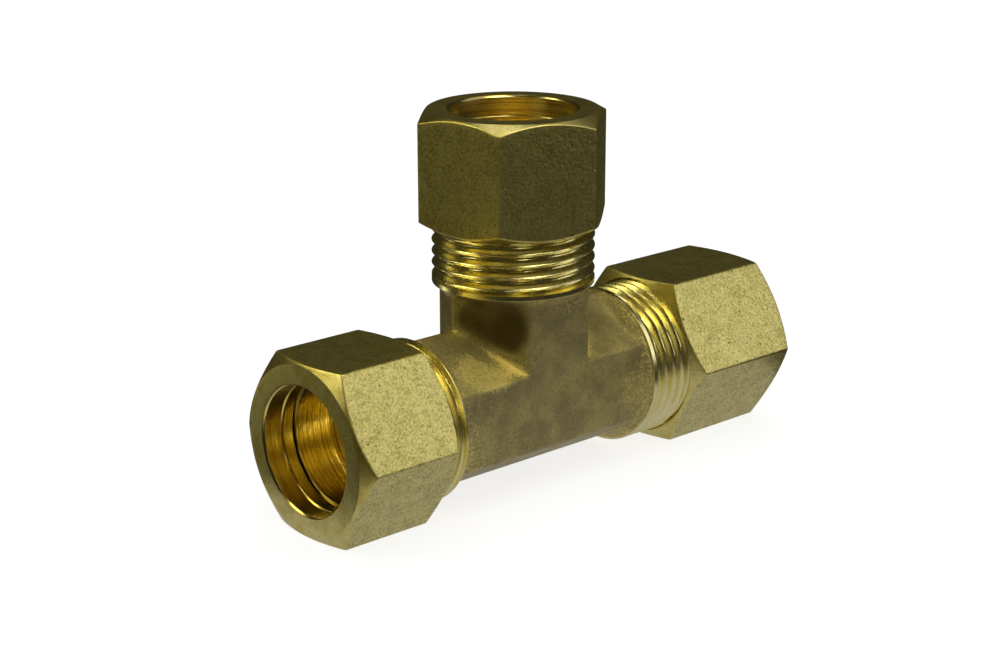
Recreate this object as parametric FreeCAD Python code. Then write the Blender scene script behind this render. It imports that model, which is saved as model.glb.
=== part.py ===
"""Compression union tee for 3/4 in (19.05 mm) tube, built as the seven pieces of the real fitting.

One forged body with three threaded ends, three hexagon nuts and the three sleeves inside them.
Every port is drawn once along +Z, outwards from the point where the three port axes meet, and
then turned to face its own way. Each node is moved as it is written, so that the origin is the
middle of the fitting's base: +Z runs up the branch and +X along the run towards the long nut.
Units are millimetres.
"""
import FreeCAD, Part
import math
import os

# ---- tube and sleeve -------------------------------------------------------------------------
SOCKET_R = 9.60            # tube socket in the body, for a tube of 9.525 mm radius
SLEEVE_BORE_R = 9.62       # bore of the sleeve
SLEEVE_NOSE_R = 9.83       # outside of the thin nose
SLEEVE_BARREL_R = 10.80    # outside of the barrel
SLEEVE_TAIL_R = 10.10      # outside at the tail, after its 45 degree bevel
SLEEVE_BARREL_END = 5.70   # from the nose to the end of the barrel
SLEEVE_LENGTH = 6.40
CONE_HALF_ANGLE = 12.0     # degrees, mouth of the body and nose of the sleeve

# ---- body ------------------------------------------------------------------------------------
FLAT_Y = 10.70             # centre to the flat front and back faces
FLAT_HALF_WIDTH = 6.10     # half the width of those faces
RIDGE_R = 12.60            # centre to the ridge on the parting line
EDGE_ROUND = 0.60          # radius along the outer edges of the forging
FLARE_BASE_R = 10.40       # where the 45 degree flare starts, inside the flat faces
BODY_END = 33.40           # centre to the end of each port
BODY_END_R = 11.30         # outside of the end face, inside the lead-in bevel
WATERWAY_R = 8.00
TUBE_STOP = 21.40          # centre to the bottom of the tube socket
MOUTH_START = 26.30        # centre to where the socket opens into the cone

# ---- thread, 1 in by 14 per inch -------------------------------------------------------------
PITCH = 25.4 / 14.0
FLANK_SLOPE = math.tan(math.radians(30.0))
EXT_MAJOR_R = 12.70
EXT_MINOR_R = 11.55
CREST_FLAT = PITCH / 8.0   # flat on the crest of the body's thread
GROOVE_SETBACK = 0.90      # from the shoulder to the middle of the groove's first turn
GROOVE_LATEST = 20.90      # centre to the furthest that a groove may start, for a tight nut
INT_MAJOR_R = 12.82
INT_MINOR_R = 11.75
FLANK_GAP = 0.12           # axial gap between the flanks, each side
CUTTER_REACH = 0.12        # how far a cutter stands past the surface it cuts

# ---- nuts ------------------------------------------------------------------------------------
ACROSS_FLATS = 27.0        # 1 1/16 in
NUT_LENGTH = 18.0
LONG_NUT_EXTRA = 5.0       # added to the lip of the long nut
FACE_R = 13.10             # where the 30 degree corner bevel meets the end face
BEVEL_SLOPE = math.tan(math.radians(30.0))
RIM_R = 10.15              # outside of the small bevel around the tube hole
RIM_DEPTH = 0.30
COUNTERBORE_R = 9.90
COUNTERBORE_DEPTH = 3.30
LIP_BORE_R = 9.70
LIP_THICKNESS = 5.20
SEAT_IN_R = 10.30          # 45 degree seat that pushes the sleeve
SEAT_OUT_R = 11.30
RELIEF_R = 12.85           # clearance between seat and thread
RELIEF_LENGTH = 1.60
LEAD_IN_R = 13.00          # 45 degree lead-in at the thread end of the nut
SLEEVE_GAP = 0.50          # tail of the sleeve to the nut's shoulder

# ---- the three ports -------------------------------------------------------------------------
# shoulder: centre to where the flare reaches the thread; inner_face: centre to the nut's inner
# face; corner: angle of a nut corner in the port's own frame; valley: a point (angle, distance)
# on the bottom of the thread groove.
PORTS = {
    "left": dict(turn=-90.0, shoulder=20.60, inner_face=23.40, extra=0.0, corner=30.0,
                 valley=(-90.0, 22.35)),
    "right": dict(turn=90.0, shoulder=19.30, inner_face=27.00, extra=LONG_NUT_EXTRA, corner=30.0,
                  valley=(-115.0, 21.44)),
    "branch": dict(turn=0.0, shoulder=18.50, inner_face=27.40, extra=0.0, corner=39.7,
                   valley=(228.4, 22.70)),
}

ORIGIN = FreeCAD.Vector(0, 0, 0)
AXIS_Y = FreeCAD.Vector(0, 1, 0)
AXIS_Z = FreeCAD.Vector(0, 0, 1)


def revolved(points):
    """A solid of revolution about Z from (radius, height) points, in order round its section."""
    corners = [FreeCAD.Vector(radius, 0, height) for radius, height in points]
    section = Part.Face(Part.makePolygon(corners + corners[:1]))
    return section.revolve(ORIGIN, AXIS_Z, 360)


def rounded_outline(points, radius):
    """A closed wire through the points, with every corner rounded to the radius."""
    count = len(points)
    edges = []
    joins = []
    for index in range(count):
        corner = points[index]
        before = (points[index - 1] - corner).normalize()
        after = (points[(index + 1) % count] - corner).normalize()
        half_angle = before.getAngle(after) / 2.0
        setback = radius / math.tan(half_angle)
        towards_centre = (before + after).normalize()
        middle = corner + towards_centre * (radius / math.sin(half_angle) - radius)
        joins.append((corner + before * setback, middle, corner + after * setback))
    for index in range(count):
        start, middle, end = joins[index]
        edges.append(Part.Arc(start, middle, end).toShape())
        edges.append(Part.makeLine(end, joins[(index + 1) % count][0]))
    return Part.Wire(edges)


def forged_arm(start, end):
    """One six-sided arm along Z, with flat faces at +Y and -Y and ridges at +X and -X."""
    outline = [
        FreeCAD.Vector(-FLAT_HALF_WIDTH, -FLAT_Y, start),
        FreeCAD.Vector(FLAT_HALF_WIDTH, -FLAT_Y, start),
        FreeCAD.Vector(RIDGE_R, 0, start),
        FreeCAD.Vector(FLAT_HALF_WIDTH, FLAT_Y, start),
        FreeCAD.Vector(-FLAT_HALF_WIDTH, FLAT_Y, start),
        FreeCAD.Vector(-RIDGE_R, 0, start),
    ]
    return Part.Face(rounded_outline(outline, EDGE_ROUND)).extrude(AXIS_Z * (end - start))


def threaded_end(port):
    """The round end of one port, with its flare, before its thread and bores are cut."""
    shoulder = port["shoulder"]
    flare_start = shoulder - (EXT_MAJOR_R - FLARE_BASE_R)
    return revolved([
        (0, flare_start),
        (FLARE_BASE_R, flare_start),
        (EXT_MAJOR_R, shoulder),
        (EXT_MAJOR_R, BODY_END - (EXT_MAJOR_R - BODY_END_R)),
        (BODY_END_R, BODY_END),
        (0, BODY_END),
    ])


def port_bore():
    """Waterway, tube socket and conical mouth of one port."""
    mouth_r = SOCKET_R + (BODY_END - MOUTH_START) * math.tan(math.radians(CONE_HALF_ANGLE))
    return revolved([
        (0, 0),
        (WATERWAY_R, 0),
        (WATERWAY_R, TUBE_STOP),
        (SOCKET_R, TUBE_STOP),
        (SOCKET_R, MOUTH_START),
        (mouth_r, BODY_END),
        (0, BODY_END),
    ])


def cut_groove(blank, section, start, turns, valley):
    """Cut a right-hand helical groove about Z, one whole turn at a time, upwards from start.

    section holds (radius, height) points about the middle of the groove, and valley is a point
    (angle, height) that the middle of the groove passes through.
    """
    mean_r = sum(radius for radius, height in section) / len(section)
    helix = Part.makeHelix(PITCH, PITCH, mean_r)
    corners = [FreeCAD.Vector(radius, 0, height) for radius, height in section]
    profile = Part.makePolygon(corners + corners[:1])
    cutter = Part.Wire(helix.Edges).makePipeShell([profile], True, True)
    angle, height = valley
    cutter.rotate(ORIGIN, AXIS_Z, angle + 360.0 * (start - height) / PITCH)
    cutter.translate(AXIS_Z * start)
    for _ in range(turns):
        blank = blank.cut(cutter)
        cutter.translate(AXIS_Z * PITCH)
    return blank


def cut_outside_thread(blank, port):
    """Cut a port's outside thread, from just past its shoulder to past the end."""
    outer_r = EXT_MAJOR_R + CUTTER_REACH
    half_top = (PITCH - CREST_FLAT) / 2.0 + CUTTER_REACH * FLANK_SLOPE
    half_root = half_top - (outer_r - EXT_MINOR_R) * FLANK_SLOPE
    section = [
        (EXT_MINOR_R, -half_root),
        (outer_r, -half_top),
        (outer_r, half_top),
        (EXT_MINOR_R, half_root),
    ]
    start = min(port["shoulder"] + GROOVE_SETBACK, GROOVE_LATEST)
    turns = math.ceil((BODY_END - start) / PITCH) + 1
    return cut_groove(blank, section, start, turns, port["valley"])


def cut_inside_thread(blank, start, end, valley):
    """Cut a nut's inside thread, half a pitch from the body's, from before start up to end."""
    half_space = CREST_FLAT / 2.0 + FLANK_GAP
    half_root = half_space - (INT_MAJOR_R - EXT_MAJOR_R) * FLANK_SLOPE
    inner_r = INT_MINOR_R - CUTTER_REACH
    half_open = half_space + (EXT_MAJOR_R - inner_r) * FLANK_SLOPE
    section = [
        (inner_r, -half_open),
        (INT_MAJOR_R, -half_root),
        (INT_MAJOR_R, half_root),
        (inner_r, half_open),
    ]
    turns = math.ceil((end - start) / PITCH) + 1
    angle, height = valley
    crest = (angle, height + PITCH / 2.0)
    return cut_groove(blank, section, end - turns * PITCH, turns, crest)


def face_outwards(shape, port):
    """Turn a shape drawn along +Z to face out of its port."""
    turned = shape.copy()
    turned.rotate(ORIGIN, AXIS_Y, port["turn"])
    return turned


def tee_body():
    """The forging: two run arms, the branch arm and three threaded ends, bored through."""
    run = forged_arm(-PORTS["left"]["shoulder"], PORTS["right"]["shoulder"])
    run.rotate(ORIGIN, AXIS_Y, 90)
    body = run.fuse(forged_arm(0, PORTS["branch"]["shoulder"]))
    for port in PORTS.values():
        end = cut_outside_thread(threaded_end(port), port)
        body = body.fuse(face_outwards(end, port))
    for port in PORTS.values():
        body = body.cut(face_outwards(port_bore(), port))
    return body.removeSplitter()


def hexagon(length, corner_angle):
    """A hexagon bar along Z with a corner at the given angle."""
    corner_r = ACROSS_FLATS / math.sqrt(3.0)
    corners = []
    for index in range(6):
        angle = math.radians(corner_angle + 60.0 * index)
        corners.append(FreeCAD.Vector(corner_r * math.cos(angle), corner_r * math.sin(angle), 0))
    return Part.Face(Part.makePolygon(corners + corners[:1])).extrude(AXIS_Z * length)


def nut(port):
    """A hexagon nut, drawn from its inner face at the height it has on its port."""
    length = NUT_LENGTH + port["extra"]
    lip = LIP_THICKNESS + port["extra"]
    seat_depth = lip + SEAT_OUT_R - SEAT_IN_R
    thread_top = length - seat_depth - RELIEF_LENGTH
    reach_r = ACROSS_FLATS / math.sqrt(3.0) + 1.0
    bevel = (reach_r - FACE_R) * BEVEL_SLOPE
    envelope = revolved([
        (0, 0),
        (FACE_R, 0),
        (reach_r, bevel),
        (reach_r, length - bevel),
        (FACE_R, length),
        (0, length),
    ])
    bore = revolved([
        (0, 0),
        (LEAD_IN_R, 0),
        (INT_MINOR_R, LEAD_IN_R - INT_MINOR_R),
        (INT_MINOR_R, thread_top),
        (RELIEF_R, thread_top),
        (RELIEF_R, length - seat_depth),
        (SEAT_OUT_R, length - seat_depth),
        (SEAT_IN_R, length - lip),
        (LIP_BORE_R, length - lip),
        (LIP_BORE_R, length - COUNTERBORE_DEPTH),
        (COUNTERBORE_R, length - COUNTERBORE_DEPTH),
        (COUNTERBORE_R, length - RIM_DEPTH),
        (RIM_R, length),
        (0, length),
    ])
    blank = hexagon(length, port["corner"]).common(envelope).cut(bore)
    blank.translate(AXIS_Z * port["inner_face"])
    groove_end = port["inner_face"] + thread_top + RELIEF_LENGTH / 2.0
    return cut_inside_thread(blank, port["inner_face"], groove_end, port["valley"])


def sleeve(port):
    """The sleeve, nose towards the body, at the height it has behind its nut's shoulder."""
    slope = math.tan(math.radians(CONE_HALF_ANGLE))
    nose_end = (SLEEVE_BARREL_R - SLEEVE_NOSE_R) / slope
    ring = revolved([
        (SLEEVE_BORE_R, 0),
        (SLEEVE_NOSE_R, 0),
        (SLEEVE_BARREL_R, nose_end),
        (SLEEVE_BARREL_R, SLEEVE_BARREL_END),
        (SLEEVE_TAIL_R, SLEEVE_LENGTH),
        (SLEEVE_BORE_R, SLEEVE_LENGTH),
    ])
    shoulder = port["inner_face"] + NUT_LENGTH - LIP_THICKNESS
    ring.translate(AXIS_Z * (shoulder - SLEEVE_GAP - SLEEVE_LENGTH))
    return ring


def outer_face(port):
    """The distance from the crossing of the axes to a nut's outer face."""
    return port["inner_face"] + NUT_LENGTH + port["extra"]


def export(name, shape):
    """Write one node's STEP file, moved so that the origin is the middle of the base."""
    solids = shape.Solids
    if len(solids) != 1 or not solids[0].isValid():
        raise RuntimeError(f"{name}: expected one valid solid, found {len(solids)}")
    middle_x = (outer_face(PORTS["right"]) - outer_face(PORTS["left"])) / 2.0
    placed = solids[0].copy()
    placed.translate(FreeCAD.Vector(-middle_x, 0, ACROSS_FLATS / 2.0))
    placed.exportStep(os.path.join("parts", name + ".step"))
    print(name, "volume", round(placed.Volume, 1), "mm3")


os.makedirs("parts", exist_ok=True)
export("tee_body", tee_body())
for port_name, port_spec in PORTS.items():
    export(port_name + "_nut", face_outwards(nut(port_spec), port_spec))
    export(port_name + "_sleeve", face_outwards(sleeve(port_spec), port_spec))
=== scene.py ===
"""Looks of a brass compression union tee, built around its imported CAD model.

Every piece is a closed mesh made here: the three hexagon nuts, the three sleeves and the forged
tee. Each one stands for the CAD node of the same part and rides on that node's body. Sizes are
the CAD source's, in millimetres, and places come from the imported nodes' boxes. A part of a port
is drawn along +Z, outwards from the point where the three port axes meet, and is then turned.
"""

import math

import bmesh
import bpy
import numpy as np
from mathutils import Euler, Matrix, Vector


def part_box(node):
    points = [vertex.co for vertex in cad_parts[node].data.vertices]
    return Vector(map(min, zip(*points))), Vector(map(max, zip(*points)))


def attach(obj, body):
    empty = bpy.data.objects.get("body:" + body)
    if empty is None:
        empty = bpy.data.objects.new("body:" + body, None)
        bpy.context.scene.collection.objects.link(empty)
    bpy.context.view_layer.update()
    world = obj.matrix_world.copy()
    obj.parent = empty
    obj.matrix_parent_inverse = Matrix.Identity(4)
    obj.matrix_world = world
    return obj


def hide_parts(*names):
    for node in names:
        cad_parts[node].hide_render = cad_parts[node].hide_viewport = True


MM = 0.001
FULL_TURN = 2 * math.pi

# ---- sizes of the body, mm -------------------------------------------------------------------
FLAT_Y = 10.70
FLAT_HALF_WIDTH = 6.10
RIDGE_R = 12.60
FLARE_BASE_R = 10.40
FLARE_ROOT_R = FLARE_BASE_R - 2.0     # the flare's hidden start, inside the arm
FLARE_ROOT_BACK = 6.0                 # from the shoulder back to that start
BODY_END = 33.40
BODY_END_R = 11.30
WATERWAY_R = 8.00
SOCKET_R = 9.60
TUBE_STOP = 21.40
MOUTH_START = 26.30
CONE_SLOPE = math.tan(math.radians(12.0))

# ---- thread, mm ------------------------------------------------------------------------------
PITCH = 25.4 / 14.0
FLANK_SLOPE = math.tan(math.radians(30.0))
EXT_MAJOR_R = 12.70
EXT_MINOR_R = 11.55
CREST_FLAT = PITCH / 8.0
GROOVE_SETBACK = 0.90       # from the shoulder to where the groove is at its full depth
GROOVE_LATEST = 20.90       # the furthest from the crossing that this may be
GROOVE_FADE = 0.30          # length over which the groove starts
INT_MAJOR_R = 12.82
INT_MINOR_R = 11.75
FLANK_GAP = 0.12
ROUND_OF_THREAD = 0.22      # share of the depth over which crest and root are rounded

# ---- nuts and sleeves, mm --------------------------------------------------------------------
ACROSS_FLATS = 27.0
NUT_LENGTH = 18.0
LONG_NUT_EXTRA = 5.0
FACE_R = 13.10
BEVEL_SLOPE = math.tan(math.radians(30.0))
RIM_R = 10.15
RIM_DEPTH = 0.30
COUNTERBORE_R = 9.90
COUNTERBORE_DEPTH = 3.30
LIP_BORE_R = 9.70
LIP_THICKNESS = 5.20
SEAT_IN_R = 10.30
SEAT_OUT_R = 11.30
RELIEF_R = 12.85
RELIEF_LENGTH = 1.60
LEAD_IN_R = 13.00
HEX_EDGE_ROUND = 0.55       # radius along the six long edges
SLEEVE_BORE_R = 9.62
SLEEVE_NOSE_R = 9.83
SLEEVE_BARREL_R = 10.80
SLEEVE_TAIL_R = 10.10
SLEEVE_BARREL_END = 5.70
SLEEVE_LENGTH = 6.40
SLEEVE_GAP = 0.50

# ---- how fine the meshes are -----------------------------------------------------------------
STEPS_ROUND = 288           # samples round an axis
COARSE_STEPS_ROUND = 96     # the same, for the flares and the floor
HEX_EDGE_STEPS = (-0.8, -0.5, -0.25, 0.0, 0.25, 0.5, 0.8)   # degrees, extra samples at an edge
CLOSEST_STEPS = 0.1         # degrees, below which two samples become one
STEPS_PER_PITCH = 16
ARC_STEPS = 4               # samples along each rounded edge of a section
SHARP_ANGLE = 35.0          # degrees, above which two faces meet in a sharp edge
VOXEL = 0.24                # mm, of the forging before it is smoothed
SMOOTHING_ROUNDS = 14
SMOOTHING_SHARE = 0.5       # how far each round moves a point towards its neighbours
RIM_ABOVE_FLARE = 0.15      # mm, step from the forging's flare up to the machined thread
ROOT_IN_FORGING = 3.0       # mm, from the shoulder to where a machined end starts inside
ROOT_WALL_INSET = 0.6       # mm, how far inside the flare's base that hidden start stays

# ---- where the forging is worn, and where highlight and shade are painted on it --------------
WEAR_AND_HIGHLIGHT_BEND = 0.45            # per mm, how sharply a crease bends to count fully, as a worn ridge or as a hollow with a painted highlight
RIDGE_SPREAD = 3            # rounds of averaging over neighbours, for the creases' bend
HOLLOW_SPREAD = 40          # the same, for the painted highlight's glow on both sides of a hollow crease
HOLLOW_GAIN = 1.6           # how much brighter that glow is made
RIDGE_WEAR = 0.12           # of a fully worn ridge
THREAD_WEAR = 0.55          # next to a thread
WEAR_REACH = 5.0            # mm, how far from the threads the skin is worn
HOLLOW_LIMIT = 0.5          # share of that reach, next to the thread, where no hollow counts
LEAST_SQUARE = 1e-6         # square mm, the least squared length of an edge that is divided by

# Patches of the forging: centre from the crossing and reach along each axis, in mm, how steep
# the rim is (1 fades all the way from the centre), and how much brighter and more golden the skin
# is there or, below zero, how much darker. The darker ones are painted shade on the branch's left
# slant, on the ridge beside it and on the right arm's top; the last one darkens the front face's
# middle a little.
WEAR_AND_SHADE_PATCHES = [
    ((-13.0, -8.0, 8.0), (7.0, 6.0, 4.5), 2.0, 0.75),
    ((-17.5, -11.0, -3.0), (5.0, 5.0, 9.0), 1.0, 0.40),
    ((15.5, -11.0, -1.0), (4.0, 4.0, 8.0), 1.0, 0.45),
    ((8.0, -11.0, -8.0), (8.0, 5.0, 4.0), 1.0, 0.22),
    ((2.0, -11.0, 15.5), (7.0, 4.0, 3.0), 1.0, 0.30),
    # Painted shade on the branch's left slant and on the ridge between it and the front face.
    ((-9.3, -5.3, 13.8), (5.2, 10.0, 7.5), 2.4, -0.92),
    ((-7.6, -8.6, 12.0), (3.2, 5.0, 10.0), 1.4, -0.12),
    # Painted shade on the right arm's top slant.
    ((13.0, -6.0, 10.0), (7.0, 8.0, 5.0), 1.0, -0.60),
    ((0.0, -11.0, 2.0), (9.0, 4.0, 9.0), 1.0, -0.15),
]

# turn: degrees about Y from +Z; shoulder: centre to the start of the thread; extra: added
# length; corner: angle of a nut corner; valley: a point (angle, distance) on the bottom of the
# body's thread groove. All as in the CAD source.
PORTS = {
    "left": dict(turn=-90.0, shoulder=20.60, extra=0.0, corner=30.0, valley=(-90.0, 22.35)),
    "right": dict(turn=90.0, shoulder=19.30, extra=LONG_NUT_EXTRA, corner=30.0,
                  valley=(-115.0, 21.44)),
    "branch": dict(turn=0.0, shoulder=18.50, extra=0.0, corner=39.7, valley=(228.4, 22.70)),
}

# ---- the finishes of each kind of piece, in the order of its material slots -------------------
TUMBLED = "tumbled brass"
FACED = "faced brass"
MACHINED = "machined brass"
BORED = "bored brass"
FORGED = "forged brass"
NUT_FINISHES = [TUMBLED, BORED, FACED]
SLEEVE_FINISHES = [BORED]
TEE_FINISHES = [FORGED, MACHINED, BORED]

# ---- camera ----------------------------------------------------------------------------------
CAMERA_AZIMUTH = -42.06
CAMERA_ELEVATION = 17.48
CAMERA_RANGE = 323.10       # mm, to the point it aims at
CAMERA_ROLL = -0.06
CAMERA_SENSOR = 36.0        # mm wide
CAMERA_LENS = 73.31         # mm
CAMERA_AIM = Vector((0.26, 3.37, 8.52))   # mm, from the crossing of the axes
CAMERA_NEAREST = 0.01       # m
CAMERA_FURTHEST = 20.0      # m

# ---- lights: angles in degrees from the object, size in metres, power in watts -----------------
WHITE = (1.0, 1.0, 1.0)
COOL = (1.0, 1.02, 1.30)
CREAM = (1.0, 0.97, 0.82)
WARM = (1.0, 0.95, 0.55)
LIGHT_DISTANCE = 0.70       # m, from the crossing of the axes
LIGHTS = {
    "key": dict(azimuth=44.0, elevation=25.0, size=0.50, power=0.80, colour=COOL),
    "high front": dict(azimuth=4.0, elevation=65.0, size=0.32, power=1.10, colour=CREAM),
    "high right": dict(azimuth=66.0, elevation=60.0, size=0.26, power=0.12, colour=WHITE),
    "front": dict(azimuth=-27.0, elevation=25.0, size=0.20, power=0.24, colour=CREAM),
    "left": dict(azimuth=-130.0, elevation=42.0, size=0.30, power=0.90, colour=WARM),
    "side left": dict(azimuth=-106.0, elevation=26.0, size=0.14, power=0.24, colour=CREAM),
    "low left": dict(azimuth=-80.0, elevation=-42.0, size=0.36, power=0.26, colour=CREAM),
    "back left": dict(azimuth=-155.0, elevation=-14.0, size=0.14, power=0.08, colour=CREAM),
    "top": dict(azimuth=163.0, elevation=76.0, size=0.16, power=0.32, colour=COOL),
    "back right": dict(azimuth=110.0, elevation=52.0, size=0.10, power=0.04, colour=WHITE),
}
WASH = dict(azimuth=0.0, elevation=90.0, size=2.0, power=9.0, colour=WHITE)
WORLD_GLOW = 0.02

# Weak lamps inside the waterway, for the light that the bores pass on: height in mm above the
# crossing of the axes, and power in watts.
INSIDE_LAMPS = {"crossing lamp": (0.0, 0.00005), "branch lamp": (14.0, 0.0020)}
INSIDE_LAMP_R = 0.003       # m

# ---- the table: one disc for the camera, and a small one that only the metal mirrors -----------
TABLE_R = 3.0               # m
TABLE_TONE = 0.5
TABLE_GLOW = 0.80
TABLE_ROUGHNESS = 0.9
TABLE_SPECULAR = 0.1
MIRRORED_TABLE_R = 0.056    # m
MIRRORED_TABLE_TONE = 0.0
MIRRORED_TABLE_GLOW = 0.36


# ---- sections and grids ----------------------------------------------------------------------
def corner(radius, height, rounding, samples, finish, threaded=False):
    """A corner of a section, and the side that follows it.

    The radius and height are one number or one for each angle, and rounding is the radius of the
    rounded corner. The side has a number of samples and a finish, and may have a thread.
    """
    return dict(radius=radius, height=height, rounding=rounding, samples=samples, finish=finish,
                threaded=threaded)


def rounded_section(corners, radii, runs):
    """Closed sections sampled at the same places, with every corner rounded.

    corners is (sections, corners, 2). radii and runs hold, for each corner, its radius and the
    number of samples along the straight side that follows it. Returns the points, and for each
    sample the index of the corner that its side follows.
    """
    before = np.roll(corners, 1, axis=1) - corners
    after = np.roll(corners, -1, axis=1) - corners
    before /= np.linalg.norm(before, axis=2, keepdims=True)
    after /= np.linalg.norm(after, axis=2, keepdims=True)
    cosine = np.clip((before * after).sum(axis=2), -1.0, 1.0)
    half = np.arccos(cosine) / 2.0
    setback = np.asarray(radii) / np.tan(half)
    starts = corners + before * setback[..., None]
    ends = corners + after * setback[..., None]
    points = []
    sides = []
    count = corners.shape[1]
    for index in range(count):
        for step in range(ARC_STEPS + 1):
            share = step / ARC_STEPS
            curve = (1 - share) ** 2 * starts[:, index] + share ** 2 * ends[:, index]
            points.append(curve + 2 * share * (1 - share) * corners[:, index])
            sides.append(index)
        following = starts[:, (index + 1) % count]
        for step in range(1, runs[index] + 1):
            share = step / (runs[index] + 1)
            points.append(ends[:, index] * (1 - share) + following * share)
            sides.append(index)
    return np.stack(points, axis=1), np.array(sides)


def sampled(profile, rings, finishes):
    """The section of a profile, which is a list of corners, at each angle round the axis.

    Returns (rings, samples, 2) points of (radius, height), and for each sample the place of its
    finish in finishes, and whether it belongs to a thread.
    """
    corners = np.zeros((rings, len(profile), 2))
    for index, row in enumerate(profile):
        corners[:, index, 0] = row["radius"]
        corners[:, index, 1] = row["height"]
    rounding = [row["rounding"] for row in profile]
    samples = [row["samples"] for row in profile]
    section, sides = rounded_section(corners, rounding, samples)
    finish = np.array([finishes.index(row["finish"]) for row in profile], np.int32)
    threaded = np.array([row["threaded"] for row in profile])
    return section, finish[sides], threaded[sides]


def ring_grid(name, angles, section, finish):
    """A closed ring, in metres, from the sections at these angles and each sample's finish."""
    radius = section[..., 0] * MM
    height = section[..., 1] * MM
    x = radius * np.cos(angles)[:, None]
    y = radius * np.sin(angles)[:, None]
    points = np.stack([x, y, height], axis=2).reshape(-1, 3)
    rings, samples = section.shape[:2]
    ring, sample = np.meshgrid(np.arange(rings), np.arange(samples), indexing="ij")
    next_ring = (ring + 1) % rings
    next_sample = (sample + 1) % samples
    faces = np.stack([
        ring * samples + sample,
        next_ring * samples + sample,
        next_ring * samples + next_sample,
        ring * samples + next_sample,
    ], axis=2).reshape(-1, 4)
    mesh = bpy.data.meshes.new(name)
    mesh.from_pydata(points.tolist(), [], faces.tolist())
    mesh.polygons.foreach_set("material_index", np.tile(finish, rings))
    if signed_volume(points, faces) < 0:
        mesh.flip_normals()
    mesh.polygons.foreach_set("use_smooth", np.ones(len(faces), bool))
    mesh.set_sharp_from_angle(angle=math.radians(SHARP_ANGLE))
    along = np.ascontiguousarray(section[..., 1], np.float32).ravel()
    mesh.attributes.new("along", "FLOAT", "POINT").data.foreach_set("value", along)
    mesh.validate()
    return mesh


def signed_volume(points, faces):
    """Volume inside quads, below zero if they face inwards."""
    a, b, c, d = (points[faces[:, k]] for k in range(4))
    first = np.einsum("ij,ij->i", a, np.cross(b, c)).sum()
    second = np.einsum("ij,ij->i", a, np.cross(c, d)).sum()
    return (first + second) / 6.0


def even_angles():
    """Evenly spaced angles round an axis."""
    return np.linspace(0.0, FULL_TURN, STEPS_ROUND, endpoint=False)


def smooth_step(value):
    """value held between 0 and 1, easing in and out of both ends."""
    value = np.clip(value, 0.0, 1.0)
    return value * value * (3.0 - 2.0 * value)


def soft_clamp(value, width):
    """value held between 0 and 1, with both bends rounded over the width."""
    low = np.maximum(value, 0.0) + np.maximum(width - np.abs(value), 0.0) ** 2 / (4 * width)
    over = low - 1.0
    return low - np.maximum(over, 0.0) - np.maximum(width - np.abs(over), 0.0) ** 2 / (4 * width)


def groove_share(angles, heights, middle, half_open, half_root):
    """How deep a helical groove is at each point: 0 on its crest and 1 on its root."""
    angle, height = middle
    turns = (heights - height) / PITCH - (angles[:, None] - math.radians(angle)) / FULL_TURN
    away = np.abs(turns - np.round(turns)) * PITCH
    return soft_clamp((half_open - away) / (half_open - half_root), ROUND_OF_THREAD)


def thread_samples(length):
    """How many samples a thread of this length needs."""
    return round(length / PITCH * STEPS_PER_PITCH)


# ---- nuts ------------------------------------------------------------------------------------
def hexagon_angles(first_edge):
    """Angles round an axis, closer together at the six edges of a hexagon."""
    edges = np.radians(first_edge + 60.0 * np.arange(6))
    extra = (edges[:, None] + np.radians(HEX_EDGE_STEPS)[None]).ravel()
    angles = np.sort(np.mod(np.concatenate([even_angles() + edges[0], extra]), FULL_TURN))
    gaps = np.diff(angles, append=angles[0] + FULL_TURN)
    return angles[gaps > math.radians(CLOSEST_STEPS)]


def hexagon_radius(angles, first_edge):
    """Distance from the axis to a hexagon with rounded edges."""
    flat_r = ACROSS_FLATS / 2.0
    centre_r = (flat_r - HEX_EDGE_ROUND) / math.cos(math.radians(30.0))
    off = np.mod(angles - math.radians(first_edge) + math.pi / 6, math.pi / 3) - math.pi / 6
    tangent_y = HEX_EDGE_ROUND / 2.0
    tangent_x = centre_r + HEX_EDGE_ROUND * math.cos(math.radians(30.0))
    on_round = np.abs(off) < math.atan2(tangent_y, tangent_x)
    inside = np.maximum(HEX_EDGE_ROUND ** 2 - (centre_r * np.sin(off)) ** 2, 0.0)
    rounded = centre_r * np.cos(off) + np.sqrt(inside)
    straight = flat_r / np.cos(math.pi / 6 - np.abs(off))
    return np.where(on_round, rounded, straight)


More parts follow.
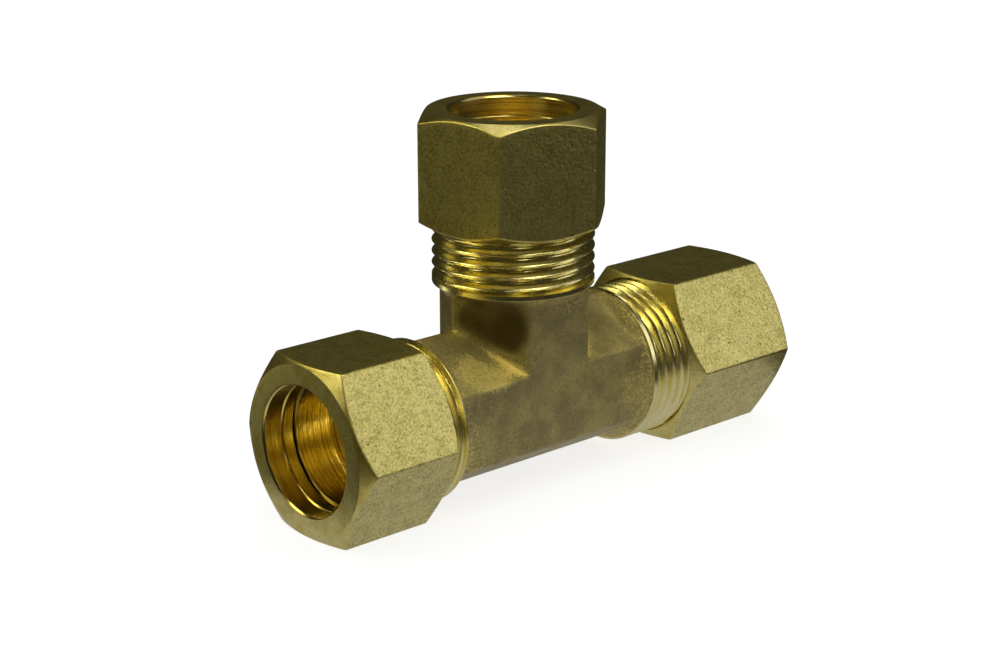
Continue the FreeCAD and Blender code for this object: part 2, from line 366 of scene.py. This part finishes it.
def nut_mesh(name, port, inner_face):
    """A hexagon nut with bevelled ends, counterbore, lip, seat, relief and inside thread."""
    angles = hexagon_angles(port["corner"])
    side_r = hexagon_radius(angles, port["corner"])
    bevel = (side_r - FACE_R) * BEVEL_SLOPE
    length = NUT_LENGTH + port["extra"]
    step = length - COUNTERBORE_DEPTH
    lip = length - LIP_THICKNESS - port["extra"]
    seat = lip - (SEAT_OUT_R - SEAT_IN_R)
    thread_top = seat - RELIEF_LENGTH
    thread_foot = LEAD_IN_R - INT_MINOR_R
    along_thread = thread_samples(thread_top - thread_foot)
    profile = [
        corner(LEAD_IN_R, 0.0, 0.02, 0, BORED),
        corner(FACE_R, 0.0, 0.10, 2, FACED),
        corner(side_r, bevel, 0.35, 24, TUMBLED),
        corner(side_r, length - bevel, 0.35, 2, FACED),
        corner(FACE_R, length, 0.30, 8, FACED),
        corner(RIM_R, length, 0.08, 1, BORED),
        corner(COUNTERBORE_R, length - RIM_DEPTH, 0.08, 6, BORED),
        corner(COUNTERBORE_R, step, 0.06, 1, BORED),
        corner(LIP_BORE_R, step, 0.05, 6, BORED),
        corner(LIP_BORE_R, lip, 0.08, 2, BORED),
        corner(SEAT_IN_R, lip, 0.05, 2, BORED),
        corner(SEAT_OUT_R, seat, 0.05, 3, BORED),
        corner(RELIEF_R, seat, 0.05, 3, BORED),
        corner(RELIEF_R, thread_top, 0.05, 1, BORED, threaded=True),
        corner(INT_MINOR_R, thread_top, 0.03, along_thread, BORED, threaded=True),
        corner(INT_MINOR_R, thread_foot, 0.05, 3, BORED, threaded=True),
    ]
    section, finish, threaded = sampled(profile, len(angles), NUT_FINISHES)
    half_space = CREST_FLAT / 2.0 + FLANK_GAP
    half_root = half_space - (INT_MAJOR_R - EXT_MAJOR_R) * FLANK_SLOPE
    half_open = half_root + (INT_MAJOR_R - INT_MINOR_R) * FLANK_SLOPE
    angle, height = port["valley"]
    crest = (angle, height + PITCH / 2.0 - inner_face)
    share = groove_share(angles, section[..., 1], crest, half_open, half_root)
    cut_to = INT_MINOR_R + share * (INT_MAJOR_R - INT_MINOR_R)
    section[..., 0] = np.where(threaded, np.maximum(section[..., 0], cut_to), section[..., 0])
    section[..., 1] += inner_face
    return ring_grid(name, angles, section, finish)


# ---- sleeves ---------------------------------------------------------------------------------
def sleeve_mesh(name, inner_face):
    """A sleeve, nose towards the body, behind its nut's shoulder."""
    angles = even_angles()
    base = inner_face + NUT_LENGTH - LIP_THICKNESS - SLEEVE_GAP - SLEEVE_LENGTH
    nose_end = base + (SLEEVE_BARREL_R - SLEEVE_NOSE_R) / CONE_SLOPE
    profile = [
        corner(SLEEVE_BORE_R, base, 0.03, 1, BORED),
        corner(SLEEVE_NOSE_R, base, 0.05, 8, BORED),
        corner(SLEEVE_BARREL_R, nose_end, 0.30, 2, BORED),
        corner(SLEEVE_BARREL_R, base + SLEEVE_BARREL_END, 0.20, 2, BORED),
        corner(SLEEVE_TAIL_R, base + SLEEVE_LENGTH, 0.10, 1, BORED),
        corner(SLEEVE_BORE_R, base + SLEEVE_LENGTH, 0.10, 10, BORED),
    ]
    section, finish, _ = sampled(profile, len(angles), SLEEVE_FINISHES)
    return ring_grid(name, angles, section, finish)


# ---- body ------------------------------------------------------------------------------------
def threaded_end_mesh(name, port):
    """The machined end of a port: thread, end face, cone, tube socket and waterway."""
    angles = even_angles()
    shoulder = port["shoulder"]
    rim = shoulder - RIM_ABOVE_FLARE
    root = shoulder - ROOT_IN_FORGING
    root_r = FLARE_BASE_R - ROOT_WALL_INSET
    mouth_r = SOCKET_R + (BODY_END - MOUTH_START) * CONE_SLOPE
    thread_end = BODY_END - (EXT_MAJOR_R - BODY_END_R)
    along_thread = thread_samples(thread_end - rim)
    profile = [
        corner(WATERWAY_R, root, 0.02, 1, MACHINED),
        corner(root_r, root, 0.02, 2, MACHINED),
        corner(root_r, rim, 0.02, 1, MACHINED),
        corner(EXT_MAJOR_R, rim, 0.07, along_thread, MACHINED, threaded=True),
        corner(EXT_MAJOR_R, thread_end, 0.08, 8, MACHINED, threaded=True),
        corner(BODY_END_R, BODY_END, 0.08, 2, MACHINED),
        corner(mouth_r, BODY_END, 0.08, 8, BORED),
        corner(SOCKET_R, MOUTH_START, 0.20, 6, BORED),
        corner(SOCKET_R, TUBE_STOP, 0.05, 2, BORED),
        corner(WATERWAY_R, TUBE_STOP, 0.08, 6, BORED),
    ]
    section, finish, threaded = sampled(profile, len(angles), TEE_FINISHES)
    half_open = (PITCH - CREST_FLAT) / 2.0
    half_root = half_open - (EXT_MAJOR_R - EXT_MINOR_R) * FLANK_SLOPE
    share = groove_share(angles, section[..., 1], port["valley"], half_open, half_root)
    start = min(shoulder + GROOVE_SETBACK, GROOVE_LATEST)
    share *= smooth_step((section[..., 1] - start) / GROOVE_FADE + 1.0)
    cut_to = EXT_MAJOR_R - share * (EXT_MAJOR_R - EXT_MINOR_R)
    section[..., 0] = np.where(threaded, np.minimum(section[..., 0], cut_to), section[..., 0])
    return ring_grid(name, angles, section, finish)


def prism(shape, outline, start, end, matrix):
    """Add a closed prism along Z from start to end, turned by the matrix."""
    low = [shape.verts.new(matrix @ Vector((x, y, start))) for x, y in outline]
    high = [shape.verts.new(matrix @ Vector((x, y, end))) for x, y in outline]
    shape.faces.new(list(reversed(low)))
    shape.faces.new(high)
    count = len(outline)
    for index in range(count):
        after = (index + 1) % count
        shape.faces.new([low[index], low[after], high[after], high[index]])


def circle(radius, steps):
    """Points on a circle about the origin."""
    turns = [FULL_TURN * step / steps for step in range(steps)]
    return [(radius * math.cos(turn), radius * math.sin(turn)) for turn in turns]


def flare(shape, matrix, shoulder):
    """Add the solid cone that carries an arm out to its thread."""
    top_r = EXT_MAJOR_R - RIM_ABOVE_FLARE
    profile = [
        (FLARE_ROOT_R, shoulder - FLARE_ROOT_BACK),
        (FLARE_BASE_R, shoulder - (EXT_MAJOR_R - FLARE_BASE_R)),
        (top_r, shoulder - RIM_ABOVE_FLARE),
        (top_r, shoulder),
    ]
    rings = []
    for radius, height in profile:
        around = circle(radius, COARSE_STEPS_ROUND)
        rings.append([shape.verts.new(matrix @ Vector((x, y, height))) for x, y in around])
    for lower, upper in zip(rings, rings[1:]):
        for step in range(COARSE_STEPS_ROUND):
            after = (step + 1) % COARSE_STEPS_ROUND
            shape.faces.new([lower[step], lower[after], upper[after], upper[step]])
    shape.faces.new(list(reversed(rings[0])))
    shape.faces.new(rings[-1])


def finished_mesh(name, shape):
    """A bmesh in millimetres as a mesh in metres."""
    mesh = bpy.data.meshes.new(name)
    shape.to_mesh(mesh)
    shape.free()
    mesh.transform(Matrix.Scale(MM, 4))
    return mesh


def turned(port):
    """The rotation that faces a part drawn along +Z out of its port."""
    return Matrix.Rotation(math.radians(port["turn"]), 4, "Y")


def add_object(name, data):
    """A new object in the scene."""
    thing = bpy.data.objects.new(name, data)
    bpy.context.scene.collection.objects.link(thing)
    return thing


def give_finishes(mesh, finishes):
    """Add one material slot for each finish to a mesh that has none."""
    for finish in finishes:
        mesh.materials.append(bpy.data.materials[finish])


def apply_modifiers(thing):
    """Replace an object's mesh by what its modifiers make of it."""
    graph = bpy.context.evaluated_depsgraph_get()
    made = bpy.data.meshes.new_from_object(thing.evaluated_get(graph), depsgraph=graph)
    thing.modifiers.clear()
    thing.data = made


def combine(thing, others, operation):
    """Boolean the others into or out of the thing, and remove them."""
    for other in others:
        step = thing.modifiers.new("boolean", "BOOLEAN")
        step.solver = "MANIFOLD"
        step.operation = operation
        step.object = other
        apply_modifiers(thing)
        bpy.data.objects.remove(other)


def forging(name):
    """The forged middle: three six-sided arms and their flares, as one soft-edged solid."""
    outline = [
        (-FLAT_HALF_WIDTH, -FLAT_Y), (FLAT_HALF_WIDTH, -FLAT_Y), (RIDGE_R, 0.0),
        (FLAT_HALF_WIDTH, FLAT_Y), (-FLAT_HALF_WIDTH, FLAT_Y), (-RIDGE_R, 0.0),
    ]
    shape = bmesh.new()
    reach = {key: port["shoulder"] - RIM_ABOVE_FLARE for key, port in PORTS.items()}
    prism(shape, outline, -reach["left"], reach["right"], turned(PORTS["right"]))
    prism(shape, outline, 0.0, reach["branch"], turned(PORTS["branch"]))
    for port in PORTS.values():
        flare(shape, turned(port), port["shoulder"])
    bmesh.ops.recalc_face_normals(shape, faces=shape.faces)
    thing = add_object(name, finished_mesh(name, shape))
    remesh = thing.modifiers.new("voxels", "REMESH")
    remesh.mode = "VOXEL"
    remesh.voxel_size = VOXEL * MM
    smooth = thing.modifiers.new("soft edges", "SMOOTH")
    smooth.factor = SMOOTHING_SHARE
    smooth.iterations = SMOOTHING_ROUNDS
    apply_modifiers(thing)
    thing.data.materials.clear()
    give_finishes(thing.data, TEE_FINISHES)
    return thing


def waterway(name, matrix, start, end):
    """A plain round cutter along a port's axis, that leaves a bored finish."""
    shape = bmesh.new()
    prism(shape, circle(WATERWAY_R, STEPS_ROUND), start, end, matrix)
    mesh = finished_mesh(name, shape)
    give_finishes(mesh, TEE_FINISHES)
    bored = TEE_FINISHES.index(BORED)
    mesh.polygons.foreach_set("material_index", [bored] * len(mesh.polygons))
    return add_object(name, mesh)


def tee_object(name):
    """The whole body: forging and machined ends in one solid, bored through."""
    body = forging(name)
    cutters = [
        waterway("run bore", turned(PORTS["right"]), -TUBE_STOP, TUBE_STOP),
        waterway("branch bore", turned(PORTS["branch"]), 0.0, TUBE_STOP),
    ]
    ends = []
    for key, port in PORTS.items():
        mesh = threaded_end_mesh("end " + key, port)
        mesh.transform(turned(port))
        give_finishes(mesh, TEE_FINISHES)
        ends.append(add_object("end " + key, mesh))
    combine(body, cutters, "DIFFERENCE")
    combine(body, ends, "UNION")
    mark_wear_and_light(body.data)
    return body


def spread(values, first, second, rounds):
    """Values at the vertices, averaged with their neighbours' a number of times."""
    count = len(values)
    around = np.bincount(first, minlength=count) + np.bincount(second, minlength=count)
    for _ in range(rounds):
        shared = np.bincount(first, values[second], count)
        shared += np.bincount(second, values[first], count)
        values = (values + shared / np.maximum(around, 1)) / 2.0
    return values


def mark_wear_and_light(mesh):
    """Store how worn the forging is on its ridges, near the threads and in patches, with a painted
    highlight in its hollow creases and painted shade in some patches.
    """
    count = len(mesh.vertices)
    points = np.empty(count * 3)
    normals = np.empty(count * 3)
    mesh.vertices.foreach_get("co", points)
    mesh.vertex_normals.foreach_get("vector", normals)
    points = points.reshape(-1, 3) / MM
    normals = normals.reshape(-1, 3)
    ends = np.empty(len(mesh.edges) * 2, np.int32)
    mesh.edges.foreach_get("vertices", ends)
    first, second = ends.reshape(-1, 2).T
    step = points[second] - points[first]
    squared = np.maximum((step ** 2).sum(axis=1), LEAST_SQUARE)
    turn = ((normals[second] - normals[first]) * step).sum(axis=1) / squared
    bend = np.bincount(first, turn, count) + np.bincount(second, turn, count)
    bend /= np.maximum(np.bincount(ends, minlength=count), 1)
    crease = spread(bend, first, second, RIDGE_SPREAD) / WEAR_AND_HIGHLIGHT_BEND
    ridge = np.clip(crease, 0.0, 1.0)
    # Hollow creases get a painted highlight: cream along the crease, with a gold glow spread to
    # both sides of it.
    hollow_highlight = np.clip(-crease, 0.0, 1.0)
    along = {"left": -points[:, 0], "right": points[:, 0], "branch": points[:, 2]}
    near = np.zeros(count)
    for key, port in PORTS.items():
        short_of_thread = port["shoulder"] - along[key]
        near = np.maximum(near, 1.0 - np.abs(short_of_thread) / WEAR_REACH)
    hollow_highlight *= 1.0 - smooth_step(near / HOLLOW_LIMIT)
    hollow_highlight = np.maximum(hollow_highlight, HOLLOW_GAIN * spread(hollow_highlight, first, second, HOLLOW_SPREAD))
    wear_and_light = np.maximum(np.maximum(RIDGE_WEAR * ridge, hollow_highlight), THREAD_WEAR * near ** 2)
    # Patches add wear and gold, and below zero they add painted shade.
    for centre, reach, steepness, amount in WEAR_AND_SHADE_PATCHES:
        away = np.linalg.norm((points - np.array(centre)) / np.array(reach), axis=1)
        wear_and_light += amount * smooth_step(steepness * (1.0 - away))
    mesh.attributes.new("wear_and_light", "FLOAT", "POINT").data.foreach_set("value", wear_and_light)


# ---- materials -------------------------------------------------------------------------------
class Brass:
    """A new metal material, and a short way to build its node tree."""

    def __init__(self, name):
        material = bpy.data.materials.new(name)
        material.use_nodes = True
        self.tree = material.node_tree
        self.shader = self.tree.nodes["Principled BSDF"]
        self.shader.inputs["Metallic"].default_value = 1.0
        self.place = self.add("ShaderNodeTexCoord").outputs["Object"]

    def add(self, kind, **settings):
        """A new node."""
        node = self.tree.nodes.new(kind)
        for key, value in settings.items():
            setattr(node, key, value)
        return node

    def link(self, source, target):
        """Join two sockets."""
        self.tree.links.new(source, target)

    def attribute(self, name):
        """A value stored at the mesh's points."""
        return self.add("ShaderNodeAttribute", attribute_name=name).outputs["Fac"]

    def noise(self, size_mm, detail, roughness=0.55):
        """Noise whose features are about size_mm across."""
        node = self.add("ShaderNodeTexNoise")
        self.link(self.place, node.inputs["Vector"])
        node.inputs["Scale"].default_value = 1.0 / (size_mm * MM)
        node.inputs["Detail"].default_value = detail
        node.inputs["Roughness"].default_value = roughness
        return node.outputs["Fac"]

    def lines(self, along, per_mm, detail):
        """Noise that varies only with a value in mm."""
        node = self.add("ShaderNodeTexNoise", noise_dimensions="1D")
        self.link(along, node.inputs["W"])
        node.inputs["Scale"].default_value = per_mm
        node.inputs["Detail"].default_value = detail
        return node.outputs["Fac"]

    def ramp(self, source, low, high, to_low=0.0, to_high=1.0):
        """Map low..high of the source onto to_low..to_high, held at the ends."""
        node = self.add("ShaderNodeMapRange", interpolation_type="SMOOTHSTEP")
        self.link(source, node.inputs["Value"])
        node.inputs["From Min"].default_value = low
        node.inputs["From Max"].default_value = high
        node.inputs["To Min"].default_value = to_low
        node.inputs["To Max"].default_value = to_high
        return node.outputs["Result"]

    def mix(self, share, first, second):
        """Mix two colours, each a colour or a socket, by a socket's share of the second."""
        node = self.add("ShaderNodeMix", data_type="RGBA")
        self.link(share, node.inputs["Factor"])
        sockets = [s for s in node.inputs if s.type == "RGBA"]
        for socket, value in zip(sockets, (first, second)):
            if isinstance(value, tuple):
                socket.default_value = (*value, 1.0)
            else:
                self.link(value, socket)
        return [s for s in node.outputs if s.type == "RGBA"][0]

    def maths(self, operation, first, second):
        """Arithmetic on a socket and a number, or on two sockets."""
        node = self.add("ShaderNodeMath", operation=operation)
        for socket, value in zip(node.inputs, (first, second)):
            if isinstance(value, float):
                socket.default_value = value
            else:
                self.link(value, socket)
        return node.outputs["Value"]

    def sway(self, value, noise, amount):
        """A value moved up and down by noise."""
        swing = self.maths("MULTIPLY", self.maths("SUBTRACT", noise, 0.5), amount)
        return self.maths("ADD", value, swing)

    def bump(self, height, depth_mm, onto=None):
        """The surface's direction, tilted by a height."""
        node = self.add("ShaderNodeBump")
        node.inputs["Strength"].default_value = 1.0
        node.inputs["Distance"].default_value = depth_mm * MM
        self.link(height, node.inputs["Height"])
        if onto is not None:
            self.link(onto, node.inputs["Normal"])
        return node.outputs["Normal"]

    def finish(self, colour, roughness, normal):
        """Feed the shader."""
        self.link(colour, self.shader.inputs["Base Color"])
        self.link(roughness, self.shader.inputs["Roughness"])
        self.link(normal, self.shader.inputs["Normal"])


def tumbled_brass():
    """The nuts' flats: satin brass with a sandy skin of light and dark grains and faint stains."""
    dark_grain = (0.47, 0.39, 0.08)
    bright_grain = (0.95, 0.82, 0.25)
    in_a_pit = (0.20, 0.155, 0.035)
    stained = (0.50, 0.40, 0.07)
    brass = Brass(TUMBLED)
    grain = brass.noise(0.36, detail=5.0, roughness=0.75)
    drifts = brass.noise(2.2, detail=3.0, roughness=0.6)
    pits = brass.noise(0.55, detail=2.0, roughness=0.5)
    stains = brass.noise(5.0, detail=4.0, roughness=0.6)
    tone = brass.sway(grain, drifts, 0.26)
    colour = brass.mix(brass.ramp(tone, 0.30, 0.62), dark_grain, bright_grain)
    colour = brass.mix(brass.ramp(pits, 0.34, 0.26), colour, in_a_pit)
    colour = brass.mix(brass.ramp(stains, 0.50, 0.75, 0.0, 0.25), colour, stained)
    skin = brass.bump(grain, 0.06)
    skin = brass.bump(pits, 0.09, onto=skin)
    brass.finish(colour, brass.ramp(grain, 0.3, 0.7, 0.42, 0.30), skin)


def faced_brass():
    """The nuts' end faces and bevels: satin brass, cleaner than the flats, with few dark grains."""
    clean = (0.86, 0.73, 0.22)
    stained = (0.70, 0.57, 0.13)
    dark_grain = (0.36, 0.28, 0.06)
    brass = Brass(FACED)
    grain = brass.noise(0.34, detail=3.0, roughness=0.6)
    stains = brass.noise(3.0, detail=4.0, roughness=0.6)
    colour = brass.mix(brass.ramp(stains, 0.40, 0.70), clean, stained)
    colour = brass.mix(brass.ramp(grain, 0.40, 0.28), colour, dark_grain)
    brass.finish(colour, brass.ramp(stains, 0.3, 0.7, 0.30, 0.38), brass.bump(grain, 0.04))


def machined_brass():
    """The body's threads: bright turned brass, a little uneven, with faint stains."""
    clean = (1.0, 0.89, 0.38)
    stained = (0.92, 0.77, 0.23)
    brass = Brass(MACHINED)
    stains = brass.noise(2.4, detail=3.0)
    ripple = brass.noise(0.60, detail=1.0)
    colour = brass.mix(brass.ramp(stains, 0.40, 0.75), clean, stained)
    brass.finish(colour, brass.ramp(stains, 0.3, 0.7, 0.22, 0.29), brass.bump(ripple, 0.002))


def bored_brass():
    """The bores and the sleeves: bright brass with fine tool lines round the axis."""
    clean = (0.97, 0.84, 0.34)
    stained = (0.88, 0.72, 0.20)
    in_a_line = (0.55, 0.38, 0.06)
    brass = Brass(BORED)
    tool_lines = brass.lines(brass.attribute("along"), 3.2, detail=3.0)
    stains = brass.noise(2.4, detail=3.0)
    colour = brass.mix(brass.ramp(stains, 0.40, 0.75), clean, stained)
    colour = brass.mix(brass.ramp(tool_lines, 0.48, 0.34), colour, in_a_line)
    brass.finish(colour, brass.ramp(stains, 0.3, 0.7, 0.17, 0.22), brass.bump(tool_lines, 0.045))


def forged_brass():
    """The forging's skin: brown-olive tarnish, golden where worn, with a painted gold and cream
    highlight in the hollow creases and nearly black painted shade on some facets.
    """
    dark_cloud = (0.43, 0.35, 0.125)
    light_cloud = (0.63, 0.52, 0.17)
    speck = (0.76, 0.63, 0.21)
    dark_grain = (0.20, 0.145, 0.035)
    worn_and_highlight_gold = (0.96, 0.78, 0.22)
    crease_highlight_cream = (1.0, 0.92, 0.50)
    painted_shade_brown = (0.08, 0.055, 0.008)
    brass = Brass(FORGED)
    wear_and_light = brass.attribute("wear_and_light")
    grain = brass.noise(0.30, detail=4.0, roughness=0.66)
    speckle = brass.noise(0.46, detail=5.0, roughness=0.70)
    clouds = brass.noise(4.5, detail=4.0, roughness=0.6)
    worn_and_lit = brass.sway(wear_and_light, speckle, 2.0)
    colour = brass.mix(brass.ramp(clouds, 0.36, 0.68), dark_cloud, light_cloud)
    colour = brass.mix(brass.ramp(speckle, 0.52, 0.72, 0.0, 0.7), colour, speck)
    colour = brass.mix(brass.ramp(grain, 0.46, 0.30, 0.0, 0.8), colour, dark_grain)
    # Gold where worn, and the glow of the painted highlight beside the hollow creases.
    colour = brass.mix(brass.ramp(worn_and_lit, 0.20, 0.85), colour, worn_and_highlight_gold)
    # Painted highlight: cream along the hollow creases, where the mark is strongest.
    colour = brass.mix(brass.ramp(worn_and_lit, 1.00, 1.70), colour, crease_highlight_cream)
    # Painted shade: the patches below zero darken the skin nearly to black.
    colour = brass.mix(brass.ramp(wear_and_light, -0.05, -1.30), colour, painted_shade_brown)
    skin = brass.bump(grain, 0.11)
    skin = brass.bump(speckle, 0.20, onto=skin)
    brass.finish(colour, brass.ramp(worn_and_lit, 0.3, 0.8, 0.48, 0.34), skin)


# ---- the studio ------------------------------------------------------------------------------
def direction(azimuth, elevation):
    """The unit vector from the object towards a viewer at these angles."""
    a = math.radians(azimuth)
    e = math.radians(elevation)
    return Vector((math.sin(a) * math.cos(e), -math.cos(a) * math.cos(e), math.sin(e)))


def add_camera(crossing):
    """The camera, at its angles and distance from the point that it aims at."""
    data = bpy.data.cameras.new("camera")
    data.sensor_width = CAMERA_SENSOR
    data.lens = CAMERA_LENS
    data.clip_start = CAMERA_NEAREST
    data.clip_end = CAMERA_FURTHEST
    thing = add_object("camera", data)
    back = direction(CAMERA_AZIMUTH, CAMERA_ELEVATION)
    thing.location = crossing + (CAMERA_AIM + back * CAMERA_RANGE) * MM
    look = (-back).to_track_quat("-Z", "Y")
    roll = Euler((0.0, 0.0, math.radians(CAMERA_ROLL))).to_quaternion()
    thing.rotation_mode = "QUATERNION"
    thing.rotation_quaternion = look @ roll
    bpy.context.scene.camera = thing


def add_light(name, centre, spec):
    """A soft box at the given angles, facing the object. It lights the metal, not the table."""
    data = bpy.data.lights.new(name, "AREA")
    data.shape = "SQUARE"
    data.size = spec["size"]
    data.energy = spec["power"]
    data.color = spec["colour"]
    thing = add_object(name, data)
    towards = direction(spec["azimuth"], spec["elevation"])
    thing.location = centre + towards * LIGHT_DISTANCE
    thing.rotation_mode = "QUATERNION"
    thing.rotation_quaternion = towards.to_track_quat("Z", "Y")
    thing.visible_diffuse = False
    return thing


def add_inside_lamp(name, place, power):
    """A weak lamp inside the waterway, seen only in the metal."""
    data = bpy.data.lights.new(name, "POINT")
    data.energy = power
    data.color = CREAM
    data.shadow_soft_size = INSIDE_LAMP_R
    lamp = add_object(name, data)
    lamp.location = place
    lamp.visible_camera = False
    lamp.visible_diffuse = False


def add_disc(name, radius, tone, glow, strength):
    """A disc at the level that the nuts stand on, lit a little from inside."""
    points = [(x, y, 0.0) for x, y in circle(radius, COARSE_STEPS_ROUND)]
    mesh = bpy.data.meshes.new(name)
    mesh.from_pydata(points, [], [list(range(COARSE_STEPS_ROUND))])
    material = bpy.data.materials.new(name)
    material.use_nodes = True
    shader = material.node_tree.nodes["Principled BSDF"]
    shader.inputs["Base Color"].default_value = (tone, tone, tone, 1.0)
    shader.inputs["Roughness"].default_value = TABLE_ROUGHNESS
    shader.inputs["Specular IOR Level"].default_value = TABLE_SPECULAR
    shader.inputs["Emission Color"].default_value = (*glow, 1.0)
    shader.inputs["Emission Strength"].default_value = strength
    mesh.materials.append(material)
    thing = add_object(name, mesh)
    thing.visible_shadow = False
    return thing


def add_studio(crossing):
    """The world's glow, the table and all the lights."""
    scene = bpy.context.scene
    scene.view_settings.view_transform = "Standard"
    world = bpy.data.worlds.new("studio")
    world.use_nodes = True
    background = world.node_tree.nodes["Background"]
    background.inputs["Color"].default_value = (*WARM, 1.0)
    background.inputs["Strength"].default_value = WORLD_GLOW
    scene.world = world
    table = add_disc("table", TABLE_R, TABLE_TONE, WHITE, TABLE_GLOW)
    table.visible_glossy = False
    mirrored = add_disc("table in metal", MIRRORED_TABLE_R, MIRRORED_TABLE_TONE, COOL,
                        MIRRORED_TABLE_GLOW)
    mirrored.visible_camera = False
    mirrored.visible_diffuse = False
    for name, spec in LIGHTS.items():
        add_light(name, crossing, spec)
    wash = add_light("wash", crossing, WASH)
    wash.visible_diffuse = True
    wash.visible_glossy = False
    for name, (height, power) in INSIDE_LAMPS.items():
        add_inside_lamp(name, crossing + Vector((0.0, 0.0, height * MM)), power)


# ---- putting it together ---------------------------------------------------------------------
def inner_face_of(key, crossing):
    """Distance in mm from the crossing to a nut's inner face, from its node's box."""
    low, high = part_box(key + "_nut")
    reach = {
        "left": crossing.x - high.x,
        "right": low.x - crossing.x,
        "branch": low.z - crossing.z,
    }
    return reach[key] / MM


def add_nut(key, port, inner_face, matrix):
    """The nut of a port, in place of its CAD node."""
    mesh = nut_mesh(key + "_hex_nut", port, inner_face)
    mesh.transform(matrix)
    give_finishes(mesh, NUT_FINISHES)
    nut = add_object(key + "_hex_nut", mesh)
    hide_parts(key + "_nut")
    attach(nut, key + "_nut")


def add_sleeve(key, inner_face, matrix):
    """The sleeve of a port, in place of its CAD node."""
    mesh = sleeve_mesh(key + "_ring_sleeve", inner_face)
    mesh.transform(matrix)
    give_finishes(mesh, SLEEVE_FINISHES)
    ring = add_object(key + "_ring_sleeve", mesh)
    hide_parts(key + "_sleeve")
    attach(ring, key + "_sleeve")


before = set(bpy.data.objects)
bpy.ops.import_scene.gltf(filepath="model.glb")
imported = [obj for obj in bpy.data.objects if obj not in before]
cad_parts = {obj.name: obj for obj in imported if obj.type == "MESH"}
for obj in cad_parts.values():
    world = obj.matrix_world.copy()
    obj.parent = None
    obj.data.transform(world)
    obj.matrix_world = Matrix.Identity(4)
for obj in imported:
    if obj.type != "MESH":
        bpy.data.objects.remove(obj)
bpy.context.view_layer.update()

tee_low, tee_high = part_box("tee_body")
crossing = Vector(((tee_low.x + tee_high.x) / 2, 0.0, tee_high.z - BODY_END * MM))
place = Matrix.Translation(crossing)

for make_material in (tumbled_brass, faced_brass, machined_brass, bored_brass, forged_brass):
    make_material()

for key, port in PORTS.items():
    inner_face = inner_face_of(key, crossing)
    add_nut(key, port, inner_face, place @ turned(port))
    add_sleeve(key, inner_face, place @ turned(port))

tee = tee_object("forged_tee")
tee.data.transform(place)
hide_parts("tee_body")
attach(tee, "tee")

add_camera(crossing)
add_studio(crossing)
